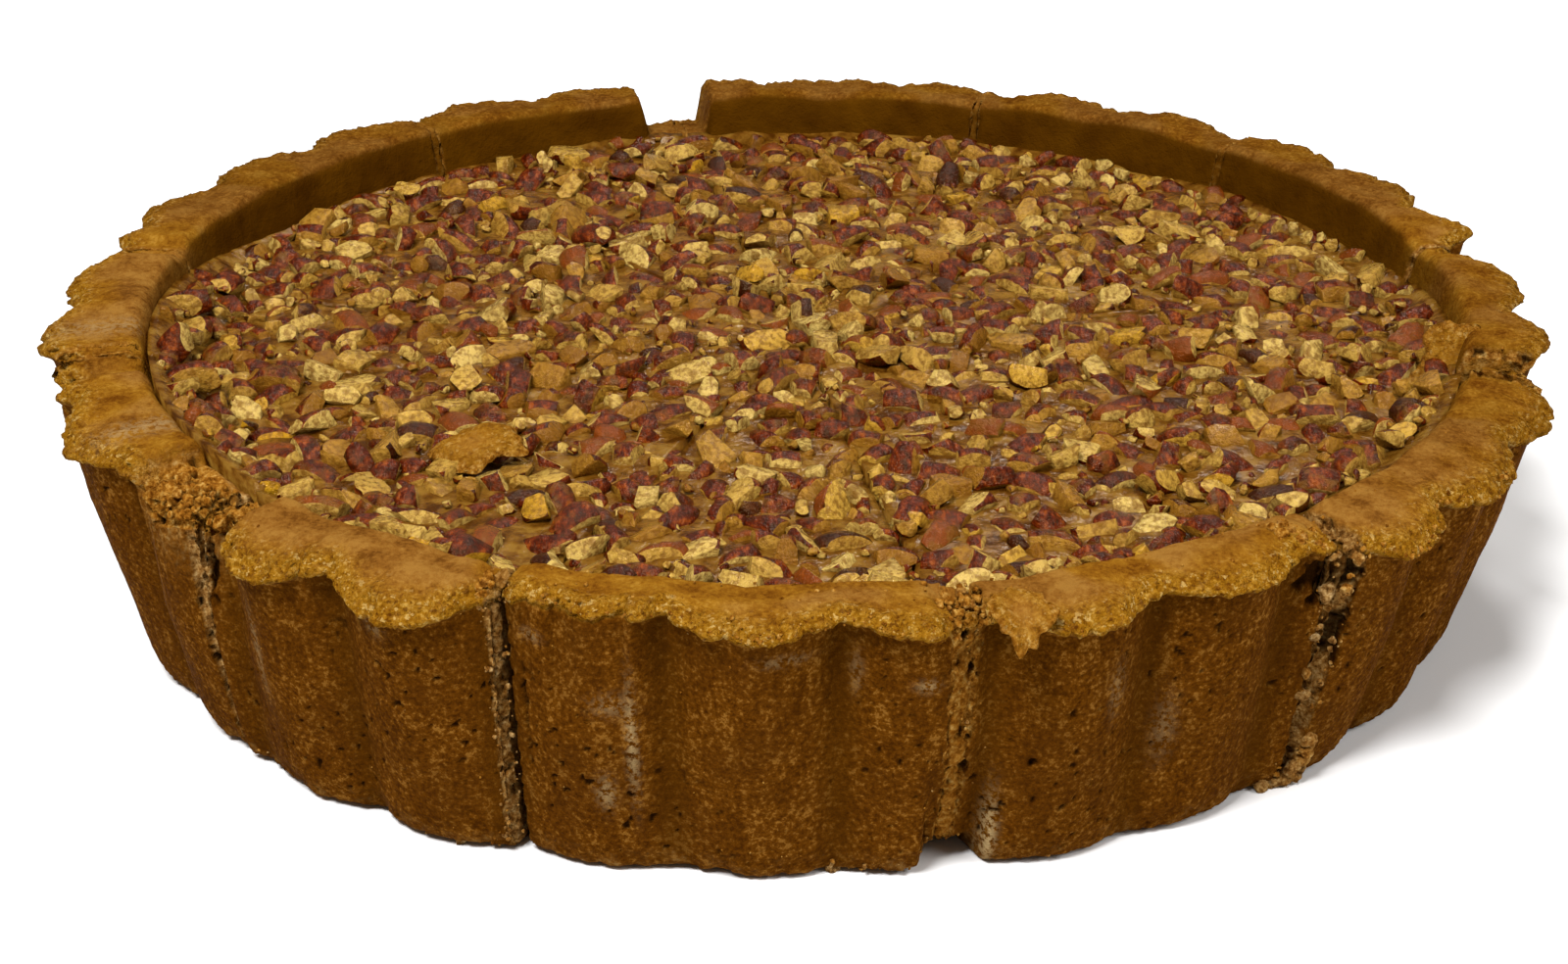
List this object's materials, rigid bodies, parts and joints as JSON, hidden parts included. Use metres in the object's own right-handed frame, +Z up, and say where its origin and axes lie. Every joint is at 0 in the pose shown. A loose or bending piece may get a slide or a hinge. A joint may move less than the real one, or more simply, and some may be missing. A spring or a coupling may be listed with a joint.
{
  "type": "pecan pie",
  "caption": "Deep round pecan pie in a fluted shortcrust case, cut into slices that still stand together as the whole pie.",
  "frame": {"origin": "middle of the pie's footprint on the surface it stands on", "axes": "+Z up through the filling, -Y towards the front, +X to the right seen from the front"},
  "size_m": [0.2505, 0.2488, 0.0486],
  "materials": {
    "crust": "dry baked shortcrust, golden on the rim and browner on the wall, slightly rough and crumbly where it is cut or broken",
    "filling": "set caramel, glossy, packed with chopped pecans: cream flesh and red-brown skins"
  },
  "bodies": {
    "root": {"crust_01": "crust", "crust_02": "crust", "crust_03": "crust", "crust_04": "crust", "crust_05": "crust", "crust_06": "crust", "crust_07": "crust", "crust_08": "crust", "crust_09": "crust", "crust_10": "crust", "crust_11": "crust", "crust_12": "crust", "filling_01": "filling", "filling_02": "filling", "filling_03": "filling", "filling_04": "filling", "filling_05": "filling", "filling_06": "filling", "filling_07": "filling", "filling_08": "filling", "filling_09": "filling", "filling_10": "filling", "filling_11": "filling", "filling_12": "filling", "rim_flake_on_filling": "crust", "rim_flake_front": "crust"}
  },
  "joints": []
}
